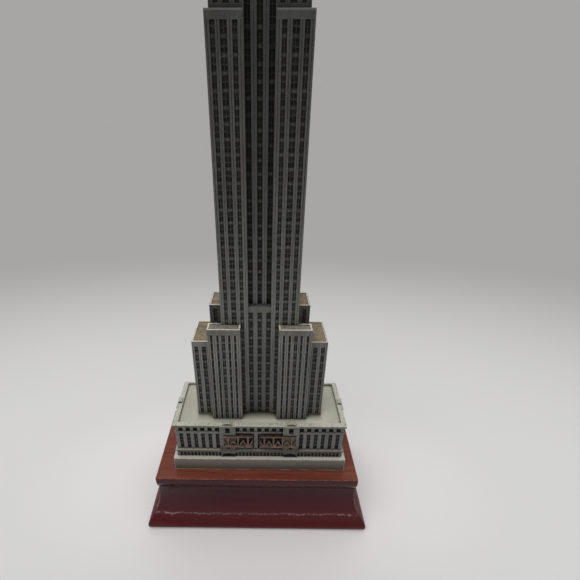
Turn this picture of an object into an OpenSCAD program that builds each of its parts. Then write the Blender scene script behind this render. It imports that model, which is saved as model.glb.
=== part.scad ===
// Landmark tower model on a moulded wooden plinth.
// Millimetres. X runs left to right, Y front to back, Z up from the table.
// The origin is the middle of the plinth's footprint, on the underside of the felt.
// The tower is modelled as keyed castings: every block is a separate solid that
// stands on, or pegs into, the one below it.

/* [Plinth] */
// Width of the plinth at its foot
plinth_w = 90; // [70:1:140]
// Depth of the plinth at its foot
plinth_d = 45.6; // [40:0.2:90]
// Height of the plinth's top face above the table
plinth_h = 25.1; // [22:0.1:40]
// Thickness of the felt under the foot
felt_t = 0.6; // [0.4:0.1:1.5]
// Height of the seam between the foot board and the cove board
foot_z = 6.3; // [5:0.1:9]
// Height of the seam between the cove board and the top board
board_z = 19.3; // [15:0.1:21]
// Distance of the top board's edge in from the foot's edge
board_in = 4.8; // [3:0.1:8]

/* [Fixings] */
// Distance between the two screws that hold the casting down
screw_pitch = 36; // [20:1:44]
// Radius of each screw's shank
screw_r = 1.5; // [1:0.1:2]
// Radius of each screw's head
head_r = 2.8; // [2:0.1:3.5]
// Height at which the screw's washer bears on the wood
bear_z = 8.6; // [7:0.1:12]
// Height of the screw's tip
tip_z = 38; // [33:0.5:42]

/* [Podium] */
// Distance of the casting's middle to the right of the plinth's middle
cast_x = 1; // [-3:0.1:3]
// Distance of the podium's middle behind the plinth's middle
podium_y = -0.45; // [-3:0.05:3]
// Width of the base slab
slab_w = 68.7; // [50:0.1:76]
// Depth of the base slab
slab_d = 26.1; // [20:0.1:32]
// Height of the base slab
slab_h = 6; // [3:0.1:8]
// Height of the shopfront storey
shop_h = 4.05; // [3:0.05:6]
// Height of the ledge on top of the shopfront
ledge_h = 0.5; // [0.3:0.1:1.2]
// Width over the podium's walls
wall_w = 65.1; // [50:0.1:74]
// Depth over the podium's walls
wall_d = 22.9; // [18:0.1:30]
// Height of the podium's walls up to the parapet
wall_h = 11.85; // [8:0.05:16]
// Height of the parapet ring
parapet_h = 1.55; // [1:0.05:3]
// Depth of the roof deck below the parapet's top
deck_drop = 0.75; // [0.4:0.05:1]
// Thickness of the parapet
parapet_t = 1.9; // [1:0.1:3]
// Thickness of the parapet along the back
back_t = 0.95; // [0.9:0.05:3]
// Overhang of the parapet's cornice
cornice_out = 0.75; // [0.3:0.05:1.5]
// Distance between neighbouring bays of windows
bay = 2.82; // [2:0.02:4]
// Width of one pavilion block
pavilion_w = 6.1; // [4:0.1:8]
// Distance of the front pavilions from the middle
pavilion_x = 12.2; // [8:0.1:16]
// Projection of a pavilion from the wall
pavilion_out = 0.95; // [0.5:0.05:1.5]
// Width of the arched head on a pavilion
head_w = 4.4; // [3:0.1:6]
// Height of the arched head above the parapet
head_h = 0.95; // [0.5:0.05:2]
// Height of the shadow gap at the foot of each podium storey
gap_h = 0.35; // [0.1:0.05:0.6]
// Depth of the shadow gaps
gap_d = 0.5; // [0.1:0.05:0.7]

/* [Tower] */
// Distance of the tower's middle behind the plinth's middle
tower_y = 0.95; // [-3:0.05:3]
// Half the width of the shaft
shaft_x = 13.4; // [10:0.1:16]
// Half the depth of the shaft
shaft_y = 5.8; // [4:0.1:9]
// Height of the shaft's shoulders above the table
shaft_z = 176.8; // [140:0.2:220]
// Half the width of the central recess
recess_x = 3.9; // [2:0.1:6]
// Depth of the central recess
recess_d = 3; // [1:0.1:4]
// Depth of every window column
groove = 0.5; // [0.2:0.05:0.9]
// Width of the fine flute down the middle of each pilaster
flute_w = 0.25; // [0.1:0.05:0.4]
// Depth of the flutes
flute_d = 0.15; // [0.05:0.05:0.3]
// Half the width over the outer wings
outer_x = 24.2; // [20:0.1:28]
// Half the depth over the outer wings
outer_y = 6.95; // [5:0.01:10]
// Height of the outer wings' roofs above the table
outer_z = 82.5; // [70:0.5:100]
// Half the width over the inner wings
wing_x = 18.06; // [15:0.02:20]
// Half the gap between a pair of inner wings
wing_gap = 6.66; // [5:0.02:9]
// Half the depth over the inner wings
wing_y = 9.4; // [7:0.01:12]
// Height of the inner wings' roofs above the table
wing_z = 89; // [80:0.5:110]
// Half the width over the upper blocks
upper_x = 17.25; // [15:0.05:18]
// Half the depth of the upper blocks
upper_y = 4.93; // [4:0.01:6]
// Height of the upper blocks' roofs above the table
upper_z = 96.25; // [90:0.25:120]
// Height of the link blocks' tops above the table
link_z = 95.9; // [90:0.1:120]
// Distance of the link blocks' faces behind the face of the shaft
link_in = 0.25; // [0.1:0.05:1]
// Height of the plain band at the head of each block
fascia = 2.2; // [1:0.1:4]
// Height of the raised rim round each flat roof
rim_h = 0.45; // [0.2:0.05:1]
// Width of the raised rim
rim_w = 0.6; // [0.3:0.05:1.2]
// Thickness of the roof panels
roof_t = 0.25; // [0.1:0.05:0.4]

/* [Crown] */
// Height of the lower crown block
crown1_h = 18; // [10:0.5:26]
// Height of the upper crown block
crown2_h = 10; // [5:0.5:16]
// Height of the observation deck block
deck_h = 5; // [3:0.5:10]
// Height of the mast's stepped base
base_h = 5; // [3:0.5:8]
// Height of the mast
mast_h = 19; // [12:0.5:30]
// Radius of the mast
mast_r = 2.5; // [2:0.1:3.5]
// Length of the needle above its cap
needle_h = 15; // [8:0.5:40]

/* [Ornament] */
// Height of the bronze frieze
frieze_h = 6; // [4:0.1:8]
// Thickness of the bronze frieze
frieze_t = 0.6; // [0.4:0.1:1]

/* [Output] */
// Name of the one node to draw, or all

/* [Hidden] */
$fn = 64;
clear = 0.05;                            // clearance round pegs, screws and tenons
slab_z = plinth_h + slab_h;              // top of the base slab
shop_z = slab_z + shop_h;                // top of the shopfront storey
wall_z = shop_z + wall_h;                // underside of the parapet
top_z = wall_z + parapet_h;              // top of the parapet
deck_z = top_z - deck_drop;              // roof deck the tower stands on
crown1_z = shaft_z + crown1_h;
crown2_z = crown1_z + crown2_h;
obs_z = crown2_z + deck_h;
base_z = obs_z + base_h;
mast_z = base_z + mast_h;
peg_r = 0.8;                             // locating pegs under the wings
peg_h = 2;
tenon = [19, 4.6, 4];                    // tenon under the shaft
spigot_r = 1.6;                          // spigots between the crown's blocks
spigot_h = 2.5;
// window columns: [distance from the middle, width]
shaft_cols = [[11.5, 1.3], [8.8, 1.8], [6, 1.3]];
shaft_side = [[0, 2.4], [3.1, 1.3]];
recess_cols = [[0, 1.5], [3.1, 1.6]];
wing_cols = [[16.6, 0.8], [14.45, 0.75], [12.5, 1.3], [10.4, 0.8], [8.4, 0.75]];
outer_cols = [[22.6, 1.35], [19.9, 1.6]];
outer_side = [[0, 1.6], [2.4, 1.3], [4.9, 1.3]];
crown_cols = [[10.6, 1.2], [8, 1.7], [5.4, 1.2]];
crown_side = [[0, 2.2], [2.8, 1.2]];
crown2 = [20.4, 8.6];                    // plan of the upper crown block
lookout = [17, 7.6];                     // plan of the observation deck
upper_cols = [[15.3, 1.4]];
upper_side = [[0, 1.6], [2.8, 1.3]];
arch_r = (head_w * head_w / 4 + head_h * head_h) / (2 * head_h);

// ---------- helpers ----------

// the children's solid from z0 up to z1
module rise(z0, z1) translate([0, 0, z0]) linear_extrude(z1 - z0) children();

// a centred rectangle from z0 up to z1
module slab(w, d, z0, z1) rise(z0, z1) square([w, d], center = true);

// a moulding mitred round a rectangle: one section seen from the front, one from the side
module mitred(w, d) {
  intersection() {
    rotate([90, 0, 0]) linear_extrude(d + 2, center = true) children(0);
    rotate([90, 0, 90]) linear_extrude(w + 2, center = true) children(1);
  }
}

// vertical bores at the two screws
module at_screws() {
  for (s = [-1, 1]) translate([cast_x + s * screw_pitch / 2, podium_y, 0]) children();
}
module bore(r, z0, z1) at_screws() rise(z0, z1) circle(r);

module at_podium() translate([cast_x, podium_y, 0]) children();
module at_tower() translate([cast_x, tower_y, 0]) children();

// cuts window columns into a face that lies at y = y0, on both sides of x = 0
module cols_y(cols, y0, g = groove) {
  for (c = cols, s = [-1, 1]) translate([s * c[0], y0]) square([c[1], 2 * g], center = true);
}
// the same on a face that lies at x = x0
module cols_x(cols, x0, g = groove) {
  for (c = cols, s = [-1, 1]) translate([x0, s * c[0]]) square([2 * g, c[1]], center = true);
}

// flutes in the pilasters between columns listed from the outermost in
function flutes(cols, outer, inner) = [for (i = [0:len(cols)])
  [((i == 0 ? outer : cols[i - 1][0] - cols[i - 1][1] / 2)
    + (i == len(cols) ? inner : cols[i][0] + cols[i][1] / 2)) / 2, flute_w]];

// a block with window columns: children(0) is its outline, children(1) its columns
module block(z0, z1, band = fascia, sill = 0) {
  if (sill > 0) rise(z0, z0 + sill) children(0);
  rise(z0 + sill, z1 - band) difference() { children(0); children(1); }
  rise(z1 - band, z1) children(0);
}

// takes a shallow tray out of a roof, leaving the rim
module tray(x0, x1, y0, y1, z1) {
  rise(z1 - rim_h, z1 + 1) translate([x0 + rim_w, y0 + rim_w])
    square([x1 - x0 - 2 * rim_w, y1 - y0 - 2 * rim_w]);
}
module panel(x0, x1, y0, y1, z1) {
  rise(z1 - rim_h, z1 - rim_h + roof_t) translate([x0 + rim_w, y0 + rim_w])
    square([x1 - x0 - 2 * rim_w, y1 - y0 - 2 * rim_w]);
}

// ---------- plinth ----------

module foot_section(w) {
  // slightly domed bevel: two large arcs that meet the foot's vertical edge
  in = 14.2;
  translate([0, felt_t]) intersection() {
    translate([-w / 2, 0]) square([w, foot_z - felt_t]);
    union() {
      for (s = [-1, 1]) translate([s * (w / 2 - in), -4.85 - felt_t]) circle(15.8, $fn = 180);
      translate([in - w / 2, 0]) square([w - 2 * in, foot_z - felt_t]);
    }
  }
}

module cove_section(w) {
  difference() {
    translate([-w / 2, foot_z]) square([w, board_z - foot_z]);
    for (s = [-1, 1]) translate([s * (w / 2 + 21.5), board_z - 1.8]) circle(27, $fn = 240);
  }
}

module board_section(w) {
  half = w / 2 - board_in;
  intersection() {
    translate([-half, board_z]) square([2 * half, plinth_h - board_z]);
    union() {
      for (s = [-1, 1]) translate([s * (half - 7.6), 22.6]) circle(7.6, $fn = 120);
      translate([7.6 - half, board_z]) square([2 * half - 15.2, plinth_h - board_z]);
      translate([-half, 22.6]) square([2 * half, plinth_h - 22.6]);
    }
  }
}

module felt_pad() color("darkolivegreen") slab(plinth_w - 4, plinth_d - 4, 0, felt_t);

module plinth_foot() color("saddlebrown") difference() {
  mitred(plinth_w, plinth_d) { foot_section(plinth_w); foot_section(plinth_d); }
  bore(4, -1, plinth_h);
}

module plinth_cove() color("saddlebrown") difference() {
  mitred(plinth_w, plinth_d) { cove_section(plinth_w); cove_section(plinth_d); }
  bore(4, -1, bear_z);
  bore(screw_r + 0.25, bear_z - 1, plinth_h);
}

module plinth_top() color("saddlebrown") difference() {
  mitred(plinth_w, plinth_d) { board_section(plinth_w); board_section(plinth_d); }
  bore(screw_r + 0.25, bear_z, plinth_h + 1);
}

module fixing_screws() color("silver") difference() {
  at_screws() {
    rise(bear_z - 2.9, bear_z - 0.7) circle(head_r);
    rise(bear_z - 1, tip_z - 1.5) circle(screw_r);
    translate([0, 0, tip_z - 1.5]) cylinder(1.5, screw_r, 0.3);
  }
  // cross recess
  at_screws() for (a = [0, 90]) rotate(a) slab(3, 0.6, bear_z - 4, bear_z - 1.7);
}

module screw_washers() color("silver") difference() {
  bore(3.5, bear_z - 0.7, bear_z);
  bore(screw_r + clear, bear_z - 2, bear_z + 1);
}

// ---------- podium ----------

module podium_slab() color("darkseagreen") difference() {
  at_podium() slab(slab_w, slab_d, plinth_h, slab_z);
  bore(screw_r + clear, plinth_h - 1, slab_z + 1);
}

// bay positions along a long wall: three groups between the pavilions
inner_bays = [for (i = [-3:3]) i * bay];
outer_bays = [for (i = [0:5], s = [-1, 1]) s * (16.35 + i * bay)];
long_bays = concat(inner_bays, outer_bays);
side_bays = [for (i = [0:2], s = [-1, 1]) s * (4.1 + i * 2.5)];

// cuts the child, an opening seen face on, g deep into every bay of a w x d storey
module openings(w, d, g) {
  for (x = long_bays, s = [-1, 1]) translate([x, s * d / 2, 0]) rotate([90, 0, 0])
    linear_extrude(2 * g, center = true) children();
  for (y = side_bays, s = [-1, 1]) translate([s * w / 2, y, 0]) rotate([90, 0, 90])
    linear_extrude(2 * g, center = true) children();
}

// an opening w wide that stands on the line z0; rise_h is the height of its arched head
module opening(w, z0, z1, rise_h = 0) {
  h = z1 - z0;
  translate([0, z0]) if (rise_h > 0) polygon([[-w / 2, 0], [w / 2, 0], [w / 2, h - rise_h],
    [w / 4, h - rise_h / 4], [0, h], [-w / 4, h - rise_h / 4], [-w / 2, h - rise_h]]);
  else translate([-w / 2, 0]) square([w, h]);
}

// puts the child, which faces -Y, at each of the six pavilions
module at_pavilions(w, d) {
  for (sx = [-1, 1], a = [0, 180]) rotate(a) translate([sx * pavilion_x, -d / 2, 0]) children();
  for (a = [90, 270]) rotate(a) translate([0, -w / 2, 0]) children();
}

// a storey with a thin shadow gap along its foot
module storey(w, d, z0, z1) {
  slab(w - 2 * gap_d, d - 2 * gap_d, z0, z0 + gap_h);
  slab(w, d, z0 + gap_h, z1);
}

module shopfront() color("gray") difference() {
  shop_w = wall_w + 0.6;
  shop_d = wall_d + 0.6;
  at_podium() {
    difference() {
      union() {
        storey(shop_w, shop_d, slab_z, shop_z - ledge_h);
        at_pavilions(shop_w, shop_d) slab(pavilion_w, 0.7, slab_z, shop_z - ledge_h);   // porches
      }
      openings(shop_w, shop_d, 0.7) for (s = [-1, 1]) translate([s * bay / 4, 0])
        opening(1, slab_z - 1, slab_z + 2.5, 0.4);
      at_pavilions(shop_w, shop_d) rotate([90, 0, 0]) linear_extrude(3, center = true)
        opening(5, slab_z - 1, slab_z + 2.3, 0.8);
    }
    slab(wall_w + 1.6, wall_d + 1.6, shop_z - ledge_h, shop_z);
  }
  bore(screw_r + clear, slab_z - 1, shop_z + 1);
}

module tower_socket(c) {
  at_tower() translate([0, 0, deck_z - tenon[2] - c])
    linear_extrude(tenon[2] + 5) square([tenon[0] + 2 * c, tenon[1] + 2 * c], center = true);
}

// peg positions, as [x, y] from the tower's middle
pegs_outer = [20.6, 0];
pegs_wing = [12.4, 7.3];
pegs_upper = [15.3, 0];
module peg_holes() {
  at_tower() for (p = [pegs_outer, pegs_wing, pegs_upper], sx = [-1, 1], sy = [-1, 1])
    if (sy > 0 || p[1] > 0) translate([sx * p[0], sy * p[1], 0])
      rise(deck_z - peg_h - clear, deck_z + 1) circle(peg_r + clear, $fn = 32);
}

module podium_walls() color("gray") difference() {
  at_podium() difference() {
    union() {
      storey(wall_w, wall_d, shop_z, wall_z);
      slab(wall_w + 0.5, wall_d + 0.5, shop_z + 8.9, shop_z + 9.6);   // string course
    }
    openings(wall_w, wall_d, 0.7) opening(1.4, shop_z + 0.2, shop_z + 8.3);
    openings(wall_w, wall_d, 0.7) opening(1.65, shop_z + 9.7, shop_z + 11.55);
    // line below the attic windows
    difference() {
      slab(wall_w + 1, wall_d + 1, shop_z + 9.6, shop_z + 9.9);
      slab(wall_w - 0.9, wall_d - 0.9, shop_z + 9.4, shop_z + 10.4);
    }
    pavilion_beds(shop_z + 8.4, shop_z + 9.9);
  }
  tower_socket(clear);
  peg_holes();
  bore(screw_r + clear, shop_z - 1, tip_z + 0.6);
}

// the flat beds that the pavilions stand against
module pavilion_beds(z0, z1) {
  for (sy = [-1, 1]) {
    for (sx = [-1, 1]) translate([sx * pavilion_x, sy * (wall_d / 2 + 5), 0])
      slab(pavilion_w, 10, z0, z1);
  }
  for (sx = [-1, 1]) translate([sx * (wall_w / 2 + 5), 0, 0]) slab(10, pavilion_w, z0, z1);
}

// the roof's outline inside the parapet
module roof_plan() {
  hx = wall_w / 2 + cornice_out - parapet_t;
  front = -wall_d / 2 - cornice_out + parapet_t;
  back = wall_d / 2 + cornice_out - back_t;
  translate([-hx, front]) square([2 * hx, back - front]);
}

module podium_parapet() color("beige") at_podium() difference() {
  union() {
    slab(wall_w, wall_d, wall_z, top_z);
    slab(wall_w + 2 * cornice_out, wall_d + 2 * cornice_out, wall_z + 0.5, top_z);
  }
  rise(wall_z - 1, top_z + 1) roof_plan();
  pavilion_beds(wall_z - 1, top_z + 1);
  slit();
}

// narrow slit across both end parapets, where the casting's two halves meet
slit_y = -0.45;
module slit() translate([0, slit_y, 0]) slab(wall_w + 9, 0.4, top_z - 0.55, top_z + 3);

module podium_roof() color("beige") difference() {
  at_podium() rise(wall_z, deck_z) roof_plan();
  tower_socket(clear);
  peg_holes();
}

// a pier block with two windows, a cornice and a low arched head; it faces -Y and
// backs onto y = 0
module pavilion(w) {
  difference() {
    union() {
      translate([0, -pavilion_out / 2, 0]) slab(w, pavilion_out, shop_z, top_z);
      translate([0, -pavilion_out / 2 - 0.1, 0]) slab(w, pavilion_out + 0.2, wall_z + 0.7, top_z);
    }
    translate([0, -pavilion_out, 0]) {
      slab(1.3, 0.9, shop_z + 1, shop_z + 8);
      slab(1.8, 1, shop_z + 9.7, shop_z + 12.3);
    }
  }
  // arched head: a slice of a wide disc standing on the parapet
  intersection() {
    translate([0, cornice_out / 2 + 0.3, top_z + head_h - arch_r]) rotate([90, 0, 0])
      cylinder(pavilion_out + 0.35, arch_r, arch_r);
    slab(w, 4, top_z, top_z + 2);
  }
}
module long_pavilion(sx, sy) color("gray") at_podium()
  translate([sx * pavilion_x, sy * wall_d / 2, 0]) rotate(sy < 0 ? 0 : 180) pavilion(pavilion_w);
// the end pavilions keep only the rear half of their heads, cut down flat
module end_pavilion(sx) color("gray") at_podium() difference() {
  translate([sx * wall_w / 2, 0, 0]) rotate(sx * 90) pavilion(pavilion_w);
  slit();
  slab(wall_w + 9, pavilion_w, top_z + head_h / 2, top_z + 3);
  translate([0, slit_y - 5, 0]) slab(wall_w + 9, 10, top_z, top_z + 3);
}
module pavilion_front_left() long_pavilion(-1, -1);
module pavilion_front_right() long_pavilion(1, -1);
module pavilion_back_left() long_pavilion(-1, 1);
module pavilion_back_right() long_pavilion(1, 1);
module pavilion_side_left() end_pavilion(-1);
module pavilion_side_right() end_pavilion(1);

// one fan of the bronze frieze: five rays round a half-ring, between two rails
module fan(w) {
  intersection() {
    translate([0.08 - w / 2, 0]) square([w - 0.16, frieze_h]);
    union() {
      for (a = [-56, -28, 0, 28, 56]) rotate(-a)
        polygon([[-0.18, 0.4], [0.18, 0.4], [0.36, frieze_h], [-0.36, frieze_h]]);
      difference() { circle(1.5); circle(1.05); }
    }
  }
  translate([-w / 2, 0]) square([w, 0.55]);
  translate([-w / 2, frieze_h - 0.45]) square([w, 0.45]);
}

// a frieze of n fans from x0 to x1, standing clear of the wall on pins
frieze_z = shop_z + 2.55;
module frieze(x0, x1, n) {
  w = (x1 - x0) / n;
  y = -wall_d / 2 - pavilion_out;
  color("peru") at_podium() {
    translate([0, y, frieze_z]) rotate([90, 0, 0]) linear_extrude(frieze_t)
      for (i = [0:n - 1]) translate([x0 + w * (i + 0.5), 0]) fan(w);
    // pins that carry the frieze off the wall, on the piers between the pavilions
    for (i = [-3:2], z = [0, frieze_h - 0.45]) if ((i + 0.5) * bay > x0 && (i + 0.5) * bay < x1)
      translate([(i + 0.5) * bay, y + pavilion_out / 2 - 0.1, frieze_z + z])
        slab(0.5, pavilion_out + 0.2, 0, 0.45);
  }
}
module frieze_left() frieze(-13.9, -2.5, 3);
module frieze_right() frieze(0.2, 14.3, 4);

// ---------- tower base ----------

module mirrored(sx, sy) at_tower() mirror([sx < 0 ? 1 : 0, 0, 0]) mirror([0, sy < 0 ? 0 : 1, 0])
  children();
module peg(p) translate([p[0], p[1], 0]) rise(deck_z - peg_h, deck_z + 0.5) circle(peg_r, $fn = 32);

// all wings are drawn at the right-hand front and mirrored from there
module outer_wing(sx) color("dimgray") mirrored(sx, -1) {
  difference() {
    block(deck_z, outer_z, sill = 0.4) {
      polygon([[upper_x, -upper_y], [wing_x, -upper_y], [wing_x, -outer_y],
        [outer_x, -outer_y], [outer_x, outer_y], [wing_x, outer_y], [wing_x, upper_y],
        [upper_x, upper_y]]);
      union() {
        for (s = [-1, 1]) {
          cols_y(outer_cols, s * outer_y);
          cols_y(flutes(outer_cols, outer_x, wing_x), s * outer_y, flute_d);
        }
        cols_x(outer_side, outer_x);
      }
    }
    tray(wing_x, outer_x, -outer_y, outer_y, outer_z);
  }
  peg(pegs_outer);
}
module outer_wing_left() outer_wing(-1);
module outer_wing_right() outer_wing(1);

module inner_wing(sx, sy) color("gray") mirrored(sx, sy) {
  difference() {
    block(deck_z, wing_z) {
      polygon([[wing_gap, -wing_y], [wing_x, -wing_y], [wing_x, -upper_y],
        [shaft_x, -upper_y], [shaft_x, -shaft_y], [wing_gap, -shaft_y]]);
      union() {
        cols_y(wing_cols, -wing_y);
        cols_y(flutes(wing_cols, wing_x, wing_gap), -wing_y, flute_d);
        cols_x([[7.7, 0.8]], wing_x);
      }
    }
    tray(wing_gap, wing_x, -wing_y, -shaft_y + rim_w + 0.1, wing_z);
  }
  peg([pegs_wing[0], -pegs_wing[1]]);
}
module front_wing_left() inner_wing(-1, -1);
module front_wing_right() inner_wing(1, -1);
module rear_wing_left() inner_wing(-1, 1);
module rear_wing_right() inner_wing(1, 1);

module upper_block(sx) color("dimgray") mirrored(sx, -1) {
  difference() {
    block(deck_z, upper_z, 1.4) {
      translate([shaft_x, -upper_y]) square([upper_x - shaft_x, 2 * upper_y]);
      union() {
        for (s = [-1, 1]) cols_y(upper_cols, s * upper_y);
        cols_x(upper_side, upper_x);
      }
    }
    tray(shaft_x - rim_w, upper_x, -upper_y, upper_y, upper_z);
  }
  peg(pegs_upper);
}
module upper_block_left() upper_block(-1);
module upper_block_right() upper_block(1);

module outer_roof(sx) color("tan") mirrored(sx, -1)
  panel(wing_x, outer_x, -outer_y, outer_y, outer_z);
module outer_roof_left() outer_roof(-1);
module outer_roof_right() outer_roof(1);
module upper_roof(sx) color("tan") mirrored(sx, -1)
  panel(shaft_x - rim_w, upper_x, -upper_y, upper_y, upper_z);
module upper_roof_left() upper_roof(-1);
module upper_roof_right() upper_roof(1);

// low block that fills the foot of the central recess
module link(sy) color("gray") mirrored(1, sy) block(deck_z, link_z) {
  translate([-recess_x, -shaft_y + link_in]) square([2 * recess_x, recess_d - link_in]);
  cols_y(recess_cols, -shaft_y + link_in);
}
module link_front() link(-1);
module link_rear() link(1);

// ---------- shaft and crown ----------

// plan of a block whose long faces are cut by the recess, with two pilasters in it
module recessed(hx, hy) {
  back = shaft_y - recess_d;
  difference() {
    square([2 * hx, 2 * hy], center = true);
    for (s = [-1, 1]) translate([-recess_x, s < 0 ? -hy - 1 : back])
      square([2 * recess_x, hy - back + 1]);
  }
}
module pilasters(z0, z1) {
  back = shaft_y - recess_d;
  for (sx = [-1, 1], sy = [-1, 1]) translate([sx * 1.55, sy * (back + 0.5), 0]) rise(z0, z1)
    difference() {
      square([1.5, 1.2], center = true);
      translate([0, sy * 0.6]) square([flute_w, 2 * flute_d], center = true);
    }
}

module shaft() color("gray") at_tower() {
  block(deck_z, shaft_z, sill = 1) {
    recessed(shaft_x, shaft_y);
    for (s = [-1, 1]) {
      cols_y(shaft_cols, s * shaft_y);
      cols_y(flutes(shaft_cols, shaft_x, recess_x), s * shaft_y, flute_d);
      cols_x(shaft_side, s * shaft_x);
    }
  }
  pilasters(link_z, shaft_z);
  slab(tenon[0], tenon[1], deck_z - tenon[2], deck_z + 1);
  spigot(shaft_z);
}

module spigot(z) rise(z - 0.5, z + spigot_h) circle(spigot_r, $fn = 48);
module spigot_hole(z) rise(z - 1, z + spigot_h + clear) circle(spigot_r + clear, $fn = 48);

module crown_lower() color("gray") at_tower() {
  difference() {
    block(shaft_z, crown1_z, sill = 1) {
      recessed(shaft_x - 1.1, shaft_y - 0.7);
      for (s = [-1, 1]) {
        cols_y(crown_cols, s * (shaft_y - 0.7));
        cols_y(flutes(crown_cols, shaft_x - 1.1, recess_x), s * (shaft_y - 0.7), flute_d);
        cols_x(crown_side, s * (shaft_x - 1.1));
      }
    }
    spigot_hole(shaft_z);
  }
  pilasters(shaft_z, crown1_z);
  spigot(crown1_z);
}

module crown_upper() color("gray") at_tower() {
  difference() {
    block(crown1_z, crown2_z, sill = 1) {
      square(crown2, center = true);
      for (s = [-1, 1]) {
        cols_y([[8.3, 1.2], [5.8, 1.2], [3.1, 1.5], [0, 1.5]], s * crown2[1] / 2);
        cols_x([[0, 1.8], [2.6, 1.1]], s * crown2[0] / 2);
      }
    }
    spigot_hole(crown1_z);
  }
  spigot(crown2_z);
}

module observation_deck() color("gray") at_tower() {
  difference() {
    union() {
      slab(lookout[0], lookout[1], crown2_z, obs_z);
      slab(lookout[0] + 0.8, lookout[1] + 0.6, obs_z - 2, obs_z - 1.4);   // cornice
    }
    // walkway inside the deck's parapet
    slab(lookout[0] - 1, lookout[1] - 1, obs_z - 0.9, obs_z + 1);
    for (s = [-1, 1], x = [-6:2:6]) translate([x, s * lookout[1] / 2, 0])
      slab(1, 0.8, crown2_z + 0.8, obs_z - 2.6);
    spigot_hole(crown2_z);
  }
  spigot(obs_z - 0.9);
}

module mast_base() color("gray") at_tower() {
  difference() {
    union() {
      slab(11, 6, obs_z - 0.9, obs_z + 2);
      slab(8.6, 5.6, obs_z + 2, base_z);
    }
    spigot_hole(obs_z - 0.9);
  }
  spigot(base_z);
}

module mast() color("silver") at_tower() {
  difference() {
    rise(base_z, mast_z) circle(mast_r);
    spigot_hole(base_z);
    // window slots between the fins
    for (a = [0:45:315]) rotate(a + 22.5) translate([mast_r, 0, 0])
      slab(0.6, 0.7, base_z + 2, mast_z - 2);
  }
  spigot(mast_z);
}

// four stepped buttresses that lean on the mast: long ones at the ends, short ones in front
module mast_fins() color("silver") at_tower() {
  for (a = [0, 90, 180, 270]) {
    low = mast_r + (a % 180 == 0 ? 1.6 : 0.25);
    high = mast_r + (a % 180 == 0 ? 1 : 0.2);
    rotate(a) difference() {
      translate([0, 0.45, base_z]) rotate([90, 0, 0]) linear_extrude(0.9)
        polygon([[1.5, 0], [low, 0], [low, mast_h - 10], [high, mast_h - 7],
          [high, mast_h - 3.5], [mast_r + 0.1, mast_h - 1.5], [1.5, mast_h - 1.5]]);
      rise(base_z - 1, mast_z) circle(mast_r);
    }
  }
}

module mast_lantern() color("silver") at_tower() {
  difference() {
    union() {
      rise(mast_z, mast_z + 1) circle(mast_r + 0.5);
      rise(mast_z, mast_z + 4.2) circle(mast_r - 0.2);
      rise(mast_z + 3.4, mast_z + 4.2) circle(mast_r + 0.2);
    }
    spigot_hole(mast_z);
    for (a = [0:30:330]) rotate(a) translate([mast_r - 0.2, 0, 0])
      slab(0.5, 0.55, mast_z + 1.5, mast_z + 3);
  }
}

module mast_cap() color("silver") at_tower() translate([0, 0, mast_z + 4.2]) difference() {
  union() {
    cylinder(2.6, mast_r - 0.2, 1.5);
    translate([0, 0, 2.6]) cylinder(1.6, 1.3, 0.95);
  }
  translate([0, 0, 0.9]) cylinder(5, 0.5 + clear, 0.5 + clear, $fn = 32);
}

module needle() color("silver") at_tower() translate([0, 0, mast_z + 5.1]) {
  cylinder(needle_h * 0.5, 0.5, 0.5, $fn = 32);
  translate([0, 0, needle_h * 0.5]) cylinder(needle_h * 0.5, 0.4, 0.18, $fn = 32);
  translate([0, 0, needle_h * 0.35]) cylinder(0.5, 0.75, 0.75, $fn = 32);
}

felt_pad();
plinth_foot();
plinth_cove();
plinth_top();
fixing_screws();
screw_washers();
podium_slab();
shopfront();
podium_walls();
podium_parapet();
podium_roof();
pavilion_front_left();
pavilion_front_right();
pavilion_back_left();
pavilion_back_right();
pavilion_side_left();
pavilion_side_right();
frieze_left();
frieze_right();
outer_wing_left();
outer_wing_right();
front_wing_left();
front_wing_right();
rear_wing_left();
rear_wing_right();
upper_block_left();
upper_block_right();
outer_roof_left();
outer_roof_right();
upper_roof_left();
upper_roof_right();
link_front();
link_rear();
shaft();
crown_lower();
crown_upper();
observation_deck();
mast_base();
mast();
mast_fins();
mast_lantern();
mast_cap();
needle();
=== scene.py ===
import math
import random

import bmesh
import bpy
from mathutils import Matrix, Vector


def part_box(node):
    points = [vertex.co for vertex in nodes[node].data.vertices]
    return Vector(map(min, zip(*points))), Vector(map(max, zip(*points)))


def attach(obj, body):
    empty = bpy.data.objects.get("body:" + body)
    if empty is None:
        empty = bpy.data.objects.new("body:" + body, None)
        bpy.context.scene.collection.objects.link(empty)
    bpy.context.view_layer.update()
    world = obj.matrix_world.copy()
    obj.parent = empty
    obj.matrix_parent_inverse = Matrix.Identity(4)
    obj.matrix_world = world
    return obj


# A miniature stepped skyscraper of painted resin, on a varnished plinth.
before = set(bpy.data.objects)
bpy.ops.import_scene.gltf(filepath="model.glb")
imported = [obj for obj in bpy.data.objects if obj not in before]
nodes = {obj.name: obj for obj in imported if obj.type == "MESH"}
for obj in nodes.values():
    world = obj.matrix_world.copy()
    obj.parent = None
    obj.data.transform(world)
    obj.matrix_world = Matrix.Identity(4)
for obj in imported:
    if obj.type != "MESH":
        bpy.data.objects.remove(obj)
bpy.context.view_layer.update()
scene = bpy.context.scene
rng = random.Random(7)
MM = 0.001


# ---------- places in the CAD frame, in mm ----------

def span_of(name):
    """The lowest and highest corner of a CAD node's box."""
    return [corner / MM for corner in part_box(name)]


def middle_of(name):
    """The middle of a CAD node's box."""
    low, high = span_of(name)
    return (low + high) / 2


def face_of(name, axis, sign):
    """Where a node's outermost face lies along an axis."""
    return getattr(span_of(name)[sign > 0], axis)


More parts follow.
